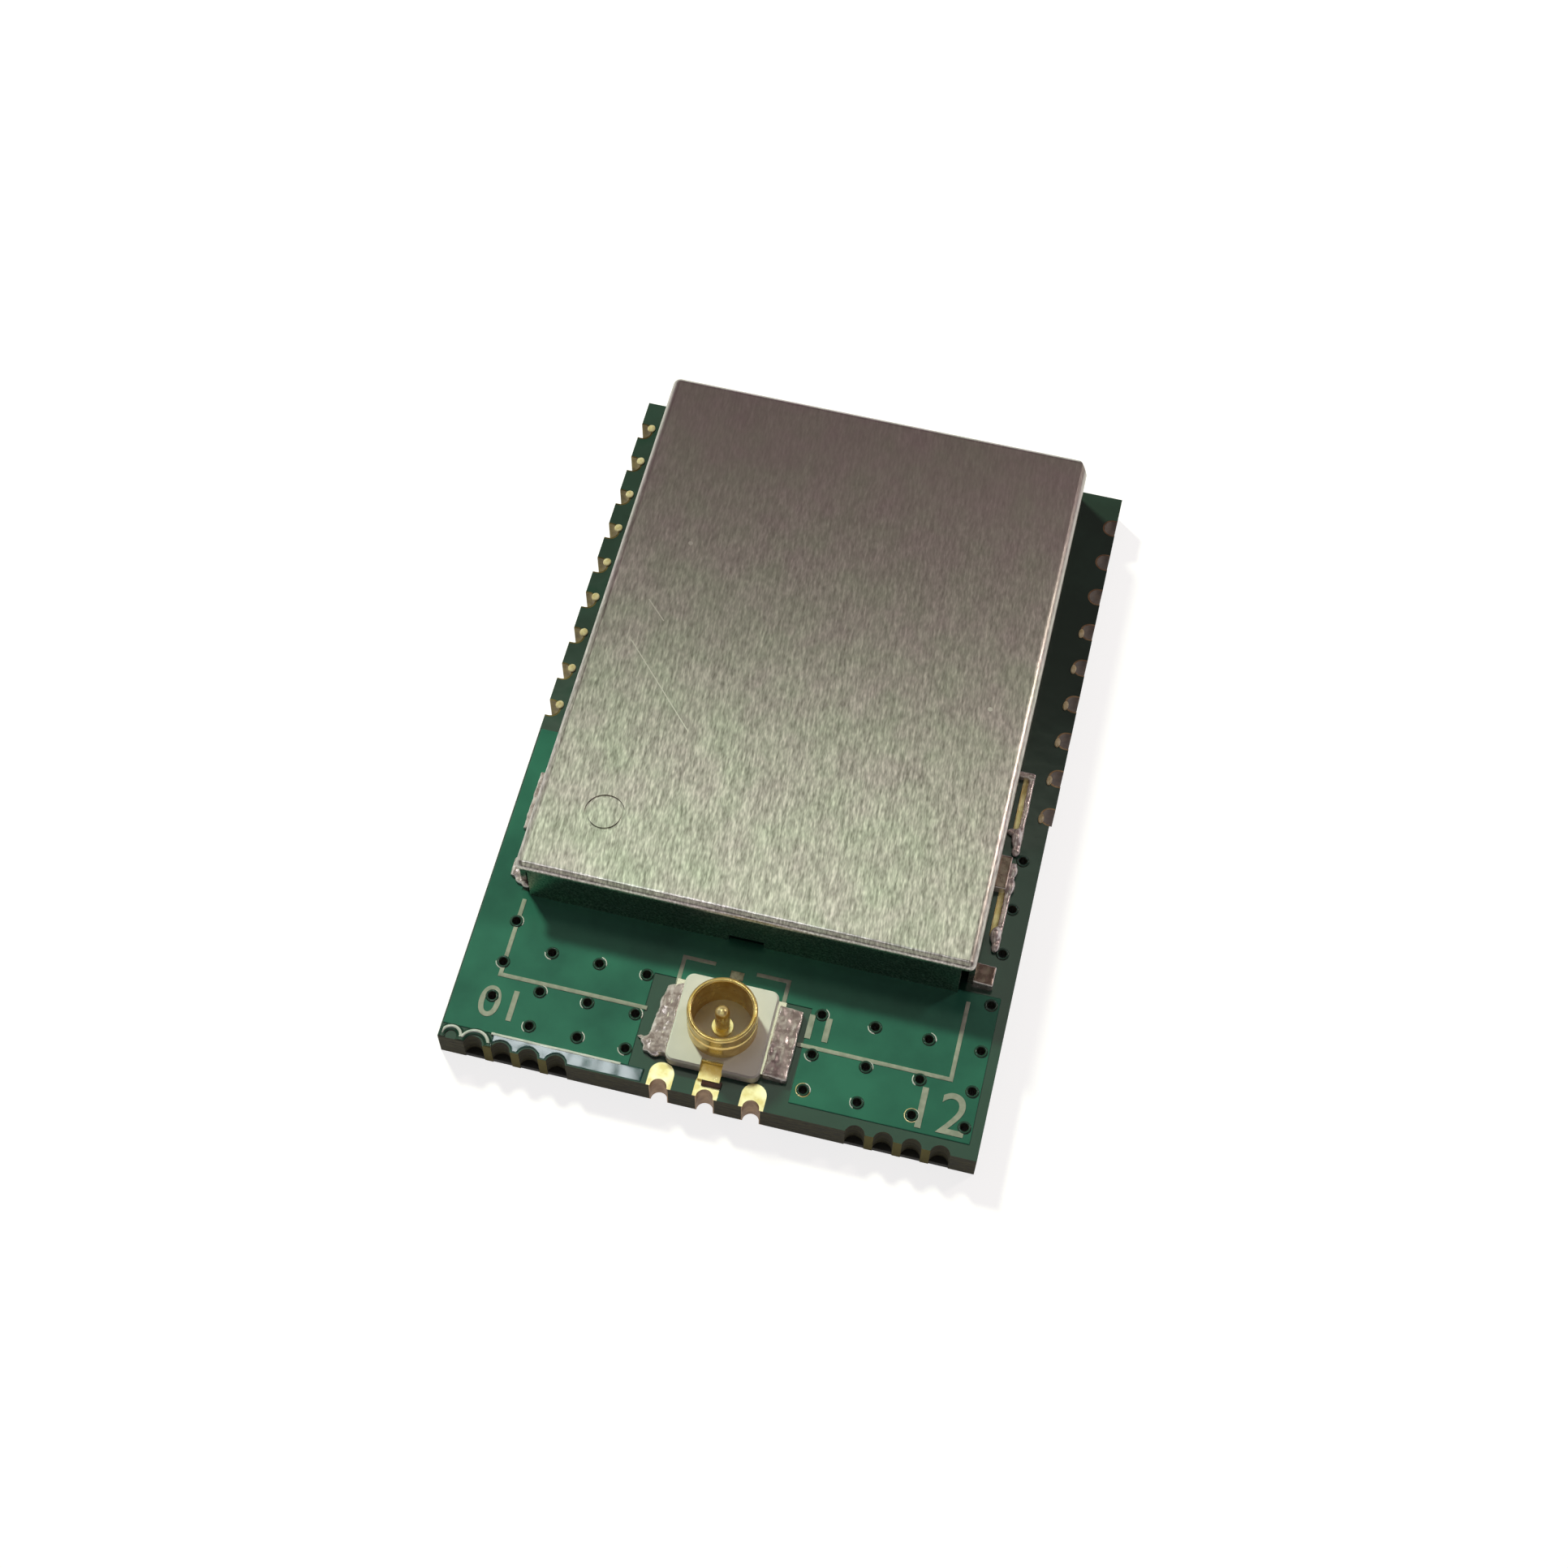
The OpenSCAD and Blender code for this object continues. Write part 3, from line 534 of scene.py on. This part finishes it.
def settle(piece, name, material, replaced=(), smooth=40):
    """Merge a finished piece's doubles, bring it to metres, name it, and let it ride on the board."""
    only(piece)
    bpy.ops.object.transform_apply(location=True, rotation=True, scale=True)
    bpy.ops.object.mode_set(mode="EDIT")
    bpy.ops.mesh.select_all(action="SELECT")
    bpy.ops.mesh.remove_doubles(threshold=0.0005)
    bpy.ops.mesh.normals_make_consistent(inside=False)
    bpy.ops.object.mode_set(mode="OBJECT")
    piece.scale = (MM, MM, MM)
    bpy.ops.object.transform_apply(location=False, rotation=False, scale=True)
    bpy.ops.object.shade_smooth_by_angle(angle=math.radians(smooth))
    piece.name = name
    piece.data.name = name
    piece.data.materials.clear()
    piece.data.materials.append(material)
    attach(piece, "root")
    if replaced:
        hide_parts(*replaced)
    return piece


# The can: its bends are smoothed, and the press clipped the top's far right corner

# Way that the clipped face looks, and the height where the clip begins
CLIP = Vector((0.832, 0.555, 0))
CLIP_FOOT = 2.2

can = bpy.data.objects.new("folded_can", nodes["shield_can"].data.copy())
bpy.context.scene.collection.objects.link(can)
only(can)
bpy.ops.object.mode_set(mode="EDIT")
bpy.ops.mesh.select_all(action="SELECT")
bpy.ops.mesh.remove_doubles(threshold=1e-7)
bpy.ops.object.mode_set(mode="OBJECT")
clipper = block((5.5, 10, CLIP_FOOT), (7, 11.5, 3))
trim(clipper, (5.96, CAN_REAR, 0), -CLIP)
clipper.scale = (MM, MM, MM)
bpy.ops.object.transform_apply(location=False, rotation=False, scale=True)
cut(can, [clipper])
only(can)
bpy.ops.object.mode_set(mode="EDIT")
bpy.ops.mesh.select_all(action="SELECT")
bpy.ops.mesh.faces_shade_flat()
bpy.ops.mesh.select_mode(type="FACE")
bpy.ops.mesh.select_all(action="DESELECT")
bpy.ops.object.mode_set(mode="OBJECT")
for face in can.data.polygons:
    face.select = max(abs(v) for v in face.normal) < 0.999 and face.normal.dot(CLIP) < 0.99
bpy.ops.object.mode_set(mode="EDIT")
bpy.ops.mesh.faces_shade_smooth()
bpy.ops.object.mode_set(mode="OBJECT")
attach(can, "root")
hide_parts("shield_can")


# Copper pour: the mask stands a little higher over it, with rounded borders and holes for the vias

VIA_ROWS = (-10.06, -9.02, -7.83)
vias = [(x, y) for x in (-5.08, -3.74, -2.4, 2.5, 3.98, 5.46, 6.89) for y in VIA_ROWS]
vias += [(-6.3, y) for y in (-9.44, -8.4, -7.14)]
vias += [(6.89, y) for y in (-6.45, -4.86, -3.47, -1.92)]

pour = block((-7.36, -10.5, BOARD_TOP - 0.1), (7.12, -1.1, BOARD_TOP + POUR_T))
under_can = block((CAN_LEFT + 0.1, CAN_FRONT + 0.1, 0), (8, 0, 3))
round_socket = block((-2.2, -11, 0), (2.2, -7.72, 3))
cut(pour, [under_can, round_socket] + [hole(spot, 0.15) for spot in vias])
settle(rounded(pour, 0.02, from_angle=60), "mask_over_pour", copper_mask_finish, smooth=10)


# Mask that ran to the edge of the board at the coax end: a strip that slopes down, and rings round two half-holes

runs = bpy.data.textures.new("mask_runs", "CLOUDS")
runs.noise_scale = 0.7
runs.noise_depth = 1

# Height of the strip at the pour, before it falls towards the edge in uneven runs
RISE = 0.044
strip = block((-5.95, BOARD_FRONT + 0.02, BOARD_TOP - 0.06), (-1.75, -10.49, BOARD_TOP + RISE))
move_corners(strip, lambda c: c.y < -10.7 and c.z > BOARD_TOP, (0, 0, 0.004 - RISE))
cut(strip, [hole((-x, BITE_Y), 0.31) for x in BITES[1:]])
modify(strip, "REMESH", mode="VOXEL", voxel_size=0.015)
modify(strip, "SMOOTH", factor=0.5, iterations=3)
modify(strip, "DISPLACE", texture=runs, texture_coords="LOCAL", direction="Z", strength=0.02, mid_level=0.5)
modify(strip, "SMOOTH", factor=0.5, iterations=4)
settle(strip, "mask_slope_left", wet_finish, smooth=180)


def mask_ring(name, centre, radius):
    """A flat ring of mask round a half-hole, cut off at the edges of the board."""
    ring = hoop((*centre, BOARD_TOP), radius, wire=0.11, squash=0.4, rounds=48, sides=16)
    trim(ring, (0, BOARD_FRONT + 0.01, 0), (0, -1, 0))
    trim(ring, (BOARD_LEFT + 0.02, 0, 0), (-1, 0, 0))
    return settle(ring, name, mask_finish, smooth=60)


def painted_glint_bead(name, centre, radius):
    """A painted glint along the crest of a ring of mask, as a thin pale bead."""
    bead = hoop((*centre, BOARD_TOP + 0.03), radius, wire=0.046, squash=0.7, rounds=48, sides=12)
    trim(bead, (0, BOARD_FRONT + 0.1, 0), (0, -1, 0))
    trim(bead, (BOARD_LEFT + 0.1, 0, 0), (-1, 0, 0))
    return settle(bead, name, glint_finish_painted, smooth=60)


FIRST_RING = (-7.05, -10.82)
SECOND_RING = (-6.38, -10.92)
mask_ring("mask_ring_first", FIRST_RING, 0.26)
mask_ring("mask_ring_second", SECOND_RING, 0.38)
# Painted glints along the crests of the two rings
painted_glint_bead("painted_glint_ring_first", FIRST_RING, 0.27)
painted_glint_bead("painted_glint_ring_second", SECOND_RING, 0.39)
# A painted glint along the pour's front edge, as a pale bead
edge_bead = block((-6.0, -10.55, BOARD_TOP), (-2.4, -10.47, BOARD_TOP + 0.055))
modify(edge_bead, "REMESH", mode="VOXEL", voxel_size=0.012)
modify(edge_bead, "DISPLACE", texture=runs, texture_coords="LOCAL", direction="Z", strength=0.05, mid_level=0.6)
modify(edge_bead, "SMOOTH", factor=0.5, iterations=6)
settle(edge_bead, "painted_glint_along_pour", glint_finish_painted, smooth=180)


# Rims of the vias: a low lip of mask at each, and on the pour a painted glint, a thin pale crescent turned
# differently at each

# Height of a lip beside the can, where no pour lifts it
LOW_LIP = 0.008
lip = hoop((0, 0, 0), 0.15, wire=0.038, squash=0.8, rounds=24, sides=8)
trim(lip, (0, 0, -0.012), (0, 0, -1))
lips = copies(lip, [((x, y, BOARD_TOP + (POUR_T if y < CAN_FRONT else LOW_LIP)), 0) for x, y in vias])
settle(lips, "mask_lips_at_vias", mask_finish, smooth=60)

CRESCENT_TURNS = (-70, 130, -40, 110)
crescent = hoop((0, 0, 0), 0.19, wire=0.022, squash=0.6, rounds=32, sides=8)
trim(crescent, (0, -0.14, 0), (0, 1, 0))
crescents = copies(crescent, [((x, y, BOARD_TOP + POUR_T), math.radians(CRESCENT_TURNS[index % 4]))
                              for index, (x, y) in enumerate(vias) if y < CAN_FRONT and x < 6.5])
settle(crescents, "painted_glints_at_vias", glint_finish_painted, smooth=60)


# Painted shadow at the foot of the break-off holes

def shadow_stubs(name, side):
    """Dark stubs at the foot of each break-off hole, flush with the edge, that paint the shadow in it."""
    stubs = []
    for x in BITES:
        stub = drum((side * x, BITE_Y), 0.29, 0.01, 0.2)
        trim(stub, (0, BOARD_FRONT + 0.012, 0), (0, -1, 0))
        stubs.append(rounded(stub, 0.012))
    return settle(joined(stubs), name, bite_shadow_finish)


shadow_stubs("painted_shadow_stubs_left", -1)
shadow_stubs("painted_shadow_stubs_right", 1)


# Printed lines and numbers

INK_LOW = BOARD_TOP + POUR_T - 0.01
INK_HIGH = BOARD_TOP + POUR_T + 0.012
LINE_W = 0.115


def printed_line(name, points, gaps=()):
    """A printed line through points, as one flat band with square corners, broken at the vias in its way."""
    half = LINE_W / 2
    strokes = []
    for (x0, y0), (x1, y1) in zip(points, points[1:]):
        low = (min(x0, x1) - half, min(y0, y1) - half, INK_LOW)
        high = (max(x0, x1) + half, max(y0, y1) + half, INK_HIGH)
        strokes.append(block(low, high))
    band = strokes[0]
    for stroke in strokes[1:]:
        modify(band, "BOOLEAN", operation="UNION", solver="EXACT", object=stroke)
        bpy.data.objects.remove(stroke)
    if gaps:
        cut(band, [hole(spot, 0.17) for spot in gaps])
    return settle(rounded(band, 0.01, segments=2, from_angle=60), name, ink_finish)


printed_line("printed_frame_left", [(-6.27, -6.5), (-6.27, -8.78), (-2.2, -8.78)], [(-6.3, -8.4), (-6.3, -7.14)])
printed_line("printed_frame_right", [(2.1, -8.82), (6.27, -8.82), (6.27, -6.55)])
printed_line("printed_corner_left", [(-0.71, -7.06), (-1.53, -7.06), (-1.53, -7.82)])
printed_line("printed_corner_right", [(0.56, -7.1), (1.41, -7.1), (1.41, -7.75)])


# Height of a figure as a share of the lettering's size
FIGURE_SHARE = 0.7


def printed_number(name, digits, centre, height, turn, bold):
    """A contact's number in printed ink."""
    deselect()
    bpy.ops.object.text_add(location=(0, 0, 0))
    number = bpy.context.object
    number.data.body = digits
    number.data.size = height / FIGURE_SHARE
    number.data.align_x = "CENTER"
    number.data.align_y = "CENTER"
    number.data.extrude = (INK_HIGH - INK_LOW) / 2
    number.data.offset = bold * height
    bpy.ops.object.convert(target="MESH")
    number.rotation_euler = (0, 0, turn)
    number.location = (centre[0], centre[1], (INK_LOW + INK_HIGH) / 2)
    return settle(number, name, ink_finish)


printed_number("printed_number_10", "10", (-6.0, -9.55), 0.9, turn=math.pi, bold=0.01)
printed_number("printed_number_11", "11", (2.5, -8.2), 0.66, turn=math.pi, bold=0.05)
printed_number("printed_number_12", "12", (6.1, -9.85), 1.2, turn=0.0, bold=0.0)


# Bare gold: pads that the solder leaves free, and rings at two vias

PAD_HIGH = BOARD_TOP + POUR_T + 0.01


def bare_pad(name, low, high, finish):
    """A thin plated pad with a rounded rim."""
    pad = rounded(block((*low, BOARD_TOP - 0.02), (*high, PAD_HIGH)), 0.015)
    return settle(pad, name, finish)


bare_pad("can_pad_right_rear", (6.42, -1.0), (6.6, 0.7), pad_gold)
bare_pad("can_pad_right_middle", (6.42, -4.4), (6.6, -3.0), pad_gold)
# Its gold is painted dim with the can's shadow
bare_pad("socket_pad_rear", (-0.2, -7.4), (0.18, -7.14), pad_gold_painted_shade)


def glint_bead_row(name, x, first_y, count, radii):
    """Painted glints beside each half-hole of a long row, as pale gold beads, all in one piece."""
    row = joined([blob((x, first_y - PITCH * i, BOARD_TOP + 0.02), radii) for i in range(count)])
    trim(row, (0, 0, BOARD_TOP - 0.005), (0, 0, -1))
    return settle(row, name, glint_gold_painted, smooth=60)


# Painted glints at the contacts of the long rows
glint_bead_row("painted_glints_beside_contacts_left", -7.07, 9.95, 9, (0.12, 0.14, 0.04))
glint_bead_row("painted_glints_beside_contacts_right", 7.13, 5.87, 6, (0.08, 0.16, 0.04))


def via_ring(name, spot):
    """The plated ring of a via that the mask left bare."""
    ring = drum(spot, 0.21, BOARD_TOP - 0.02, PAD_HIGH)
    cut(ring, [hole(spot, 0.135)])
    return settle(rounded(ring, 0.01), name, pad_gold)


via_ring("via_ring_inner", (2.5, VIA_ROWS[0]))
via_ring("via_ring_outer", (5.46, VIA_ROWS[0]))


# Solder

clouds = bpy.data.textures.new("solder_waves", "CLOUDS")
clouds.noise_scale = 0.22
clouds.noise_depth = 2


def solder(name, replaced, bodies, swell, finish=solder_finish):
    """Melt bodies into one lump with a wavy skin, in place of the plain fillet."""
    lump = joined(bodies)
    modify(lump, "REMESH", mode="VOXEL", voxel_size=0.03)
    modify(lump, "SMOOTH", factor=0.5, iterations=4)
    modify(lump, "DISPLACE", texture=clouds, texture_coords="LOCAL", strength=swell, mid_level=0.5)
    modify(lump, "SMOOTH", factor=0.5, iterations=2)
    return settle(lump, name, finish, replaced, smooth=180)


def wedge(low, high, side, drop):
    """A block whose outer top edge is lowered, so it slopes away from the wall."""
    piece = block(low, high)
    outer = high[0] if side > 0 else low[0]
    move_corners(piece, lambda c: abs(c.x - outer) < 1e-4 and c.z > (low[2] + high[2]) / 2, (0, 0, -drop))
    return piece


# The solder's foot, a little inside the board
LOW = BOARD_TOP - 0.05
solder("solder_right_rear", ("can_solder_right_rear",),
       [block((6.24, 0.62, LOW), (6.72, 0.8, 1.2)), block((6.58, -1.75, LOW), (6.74, 0.8, 1.16)),
        blob((6.58, -1.3, 1.12), (0.14, 0.3, 0.16)), blob((6.64, -1.72, 1.08), (0.12, 0.16, 0.12)),
        blob((6.42, -1.12, 1.06), (0.16, 0.12, 0.1))], 0.05)
# The block and the corner joint carry the painted brown reflection on their flat tops
solder("solder_right_block", (), [block((6.24, -3.04, LOW), (6.6, -2.0, 1.3))], 0.015, solder_painted_brown)
solder("solder_right_middle", ("can_solder_right_middle",),
       [block((6.6, -4.7, LOW), (6.76, -2.1, 1.16)), blob((6.7, -2.35, 1.12), (0.12, 0.2, 0.13)),
        blob((6.72, -2.85, 1.12), (0.12, 0.24, 0.13)), blob((6.58, -4.4, 1.12), (0.14, 0.26, 0.16)),
        blob((6.66, -4.74, 1.08), (0.12, 0.18, 0.12))], 0.035)
solder("solder_right_corner", ("can_solder_right_corner",),
       [wedge((6.26, -6.02, LOW), (6.82, -5.42, 1.36), 1, 0.06)], 0.02, solder_painted_brown)
solder("solder_left", ("can_solder_left",),
       [wedge((CAN_LEFT - 0.42, -4.36, LOW), (CAN_LEFT + 0.02, -2.52, 1.28), -1, 0.16)], 0.06)
solder("solder_left_corner", ("can_solder_left_corner",),
       [wedge((CAN_LEFT - 0.36, -5.84, LOW), (CAN_LEFT + 0.02, -5.28, 1.24), -1, 0.14),
        blob((-6.74, -5.68, 1.08), (0.13, 0.2, 0.12)), blob((-6.5, -5.92, 1.06), (0.2, 0.12, 0.1)),
        blob((-6.34, -6.02, 1.05), (0.14, 0.1, 0.08))], 0.05)
left_fillet = wedge((-1.94, -10.02, LOW), (-1.29, -7.92, 1.34), -1, 0.2)
move_corners(left_fillet, lambda c: c.x < -1.5 and c.y > -9, (0.2, -0.1, 0))
solder("solder_leg_left", ("coax_solder_left",),
       [left_fillet, blob((-1.86, -9.72, 1.1), (0.2, 0.16, 0.12)), blob((-2.04, -9.62, 1.05), (0.16, 0.06, 0.05)),
        blob((-1.66, -8.6, 1.16), (0.16, 0.4, 0.1)), blob((-1.62, -10.0, 1.1), (0.2, 0.12, 0.1))], 0.07)
solder("solder_leg_right", ("coax_solder_right",),
       [wedge((1.36, -10.0, LOW), (2.02, -7.94, 1.33), 1, 0.12), blob((1.9, -9.9, 1.1), (0.12, 0.14, 0.1)),
        blob((1.86, -8.5, 1.14), (0.14, 0.3, 0.1))], 0.05)

# Dark band before the pin's tail: flux residue and the painted shadow of the raised tail
flux_and_shadow_band = rounded(block((-0.17, -10.58, BOARD_TOP - 0.01), (0.37, -10.4, BOARD_TOP + 0.1)), 0.02)
modify(flux_and_shadow_band, "REMESH", mode="VOXEL", voxel_size=0.015)
modify(flux_and_shadow_band, "DISPLACE", texture=clouds, texture_coords="LOCAL", strength=0.03, mid_level=0.5)
modify(flux_and_shadow_band, "SMOOTH", factor=0.5, iterations=2)
settle(flux_and_shadow_band, "flux_and_painted_shadow_at_tail", flux_and_shadow_finish, smooth=180)


# Stage

def studio_floor():
    """Pale floor that turns up far away, so that it is also the backdrop."""
    deselect()
    bpy.ops.mesh.primitive_circle_add(vertices=96, radius=0.9, fill_type="NGON", location=(0, 0, 0))
    floor = bpy.context.object
    floor.name = "studio_floor"
    bpy.ops.object.mode_set(mode="EDIT")
    bpy.ops.mesh.select_mode(type="EDGE")
    bpy.ops.mesh.region_to_loop()
    for rise, spread in ((0.02, 1.25), (0.1, 1.15), (0.25, 1.06)):
        bpy.ops.mesh.extrude_edges_move(TRANSFORM_OT_translate={"value": (0, 0, rise)})
        bpy.ops.transform.resize(value=(spread, spread, 1))
    bpy.ops.object.mode_set(mode="OBJECT")
    bpy.ops.object.shade_smooth()
    return floor


# Glow of the floor where it is seen straight or in a mirror, so that it stands as the white background
FLOOR_GLOW = 0.8

floor = studio_floor()
floor_material, tree, shader = new_material("pale_paper")
shader.inputs["Base Color"].default_value = linear("#b4b4b2")
shader.inputs["Roughness"].default_value = 0.9
path = add(tree, "ShaderNodeLightPath")
seen = add(tree, "ShaderNodeMath", [(0, path.outputs["Is Camera Ray"]), (1, path.outputs["Is Glossy Ray"])],
           operation="MAXIMUM")
shown = add(tree, "ShaderNodeMath", [(0, seen), (1, path.outputs["Is Transmission Ray"])], operation="MAXIMUM")
glow = add(tree, "ShaderNodeMath", [(0, shown), (1, FLOOR_GLOW)], operation="MULTIPLY")
shader.inputs["Emission Color"].default_value = (1, 1, 1, 1)
tree.links.new(glow.outputs[0], shader.inputs["Emission Strength"])
floor.data.materials.append(floor_material)

world = bpy.data.worlds.new("studio")
bpy.context.scene.world = world
world.use_nodes = True
tree = world.node_tree
tree.nodes.clear()
# The room is dim towards the front and a little lighter behind the object
view = add(tree, "ShaderNodeSeparateXYZ", [("Vector", add(tree, "ShaderNodeTexCoord").outputs["Generated"])])
room = add(tree, "ShaderNodeMapRange", [("Value", view.outputs["Y"])], From_Min=-0.4, From_Max=0.7, To_Min=0.08,
           To_Max=0.18)
sky = add(tree, "ShaderNodeBackground", [("Strength", room)], Color=(1.0, 0.68, 0.75, 1))
tree.links.new(sky.outputs[0], tree.nodes.new("ShaderNodeOutputWorld").inputs[0])


def softbox(name, place, aim, size, power, colour):
    """Rectangular lamp at a place in mm, turned to a point in mm."""
    deselect()
    bpy.ops.object.light_add(type="AREA", location=[v * MM for v in place])
    lamp = bpy.context.object
    lamp.name = name
    lamp.data.shape = "RECTANGLE"
    lamp.data.size = size[0] * MM
    lamp.data.size_y = size[1] * MM
    lamp.data.energy = power
    lamp.data.color = linear(colour)[:3]
    direction = Vector([v * MM for v in aim]) - lamp.location
    lamp.rotation_euler = direction.to_track_quat("-Z", "Y").to_euler()
    return lamp


# The key gives the daylight and its shadow; the panels and the window are what metal and gloss mirror
key = softbox("key_softbox", (-82, 76, 105), (0, -2, 1), (16, 16), 0.18, "#f7ffe4")
key.visible_glossy = False
overhead_panel = softbox("overhead_panel", (-20, 45, 120), (-20, 45, 0), (76, 42), 0.0155, "#ecffe4")
front_panel = softbox("front_panel", (0, -72, 104), (0, 0, 1), (160, 110), 0.03, "#f6ffec")
small_window = softbox("small_window", (-26, 8, 120), (-4, -10, 1), (15, 15), 0.0125, "#f4fbff")
softbox("right_lamp", (80, 64, 98), (4, 0, 1), (16, 16), 0.028, "#fff2e8")
left_panel = softbox("left_panel", (-100, 44, 74), (-6, -2, 2), (34, 90), 0.008, "#f6ffec")
for mirrored in (overhead_panel, front_panel, small_window, left_panel):
    mirrored.visible_diffuse = False

# The camera was fitted to the photo: its place in mm, its lens, and the ways that its axes point
camera_data = bpy.data.cameras.new("photo_camera")
camera = bpy.data.objects.new("photo_camera", camera_data)
bpy.context.scene.collection.objects.link(camera)
camera_data.sensor_width = 36.0
camera_data.lens = 56.64
camera_data.clip_start = 0.001
camera_data.clip_end = 10.0
right = (0.9717, 0.23573, 0.0152)
up = (-0.21411, 0.85172, 0.47826)
back = (0.09979, -0.46798, 0.87809)
turn = Matrix((right, up, back)).transposed().to_4x4()
camera.matrix_world = Matrix.Translation((6.82 * MM, -33.97 * MM, 62.57 * MM)) @ turn
bpy.context.scene.camera = camera

bpy.context.scene.view_settings.view_transform = "Standard"
